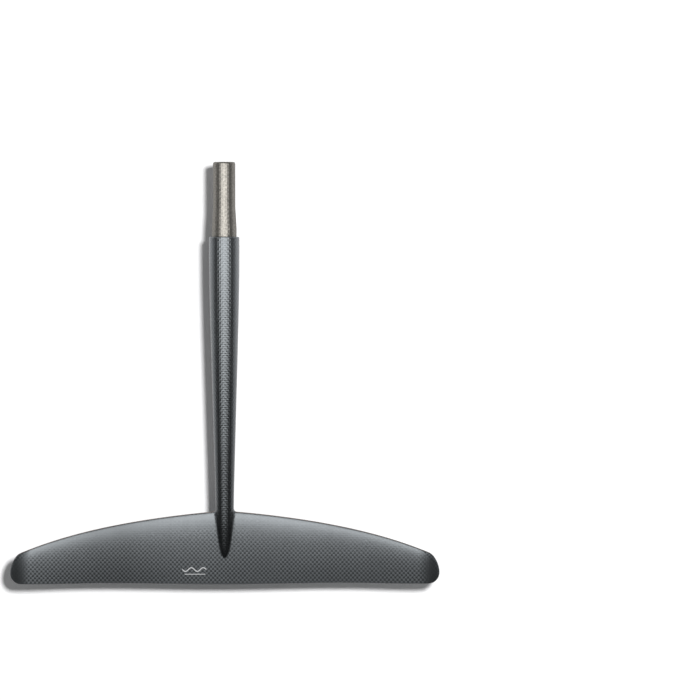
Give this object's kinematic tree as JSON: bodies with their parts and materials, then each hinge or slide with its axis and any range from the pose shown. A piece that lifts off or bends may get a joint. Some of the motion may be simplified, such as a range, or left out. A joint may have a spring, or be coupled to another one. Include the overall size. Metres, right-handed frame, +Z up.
{
  "type": "hydrofoil tail wing",
  "caption": "Swept carbon hydrofoil tail wing with rounded, slightly turned-down tips on a tapered tail boom that ends in a round plug-in spigot.",
  "frame": {"origin": "on the boom axis at the boom's front rim, where the spigot leaves the boom", "axes": "+Y forward along the spigot, +X along the span to starboard, +Z up; the wing lies aft at negative Y"},
  "size_m": [0.3948, 0.3886, 0.028],
  "materials": {
    "carbon_weave": "satin clear coat over 3K plain-weave carbon cloth",
    "raw_carbon": "sanded bare carbon with resin dust, rough and speckled",
    "unidirectional_carbon": "unidirectional carbon laminate, fibres along the piece",
    "foam_core": "closed-cell structural foam, fine cells",
    "resin_bond": "cured tan structural adhesive, slightly glossy",
    "filled_resin": "cast filled epoxy, dull and slightly mottled",
    "stainless_steel": "turned stainless steel",
    "white_mark": "thin white printed film"
  },
  "bodies": {
    "root": {"upper_shell": "carbon_weave", "lower_shell": "carbon_weave", "seam_bond": "resin_bond", "boom_tube": "unidirectional_carbon", "boom_core": "foam_core", "spigot": "raw_carbon", "threaded_insert": "stainless_steel", "root_block": "filled_resin", "upper_spar_cap": "unidirectional_carbon", "lower_spar_cap": "unidirectional_carbon", "spar_web": "unidirectional_carbon", "left_front_core": "foam_core", "right_front_core": "foam_core", "left_rear_core": "foam_core", "right_rear_core": "foam_core", "left_tip_block": "filled_resin", "right_tip_block": "filled_resin", "left_leading_edge_roving": "unidirectional_carbon", "right_leading_edge_roving": "unidirectional_carbon", "trailing_edge_strip": "unidirectional_carbon", "size_decal": "white_mark"}
  },
  "joints": []
}
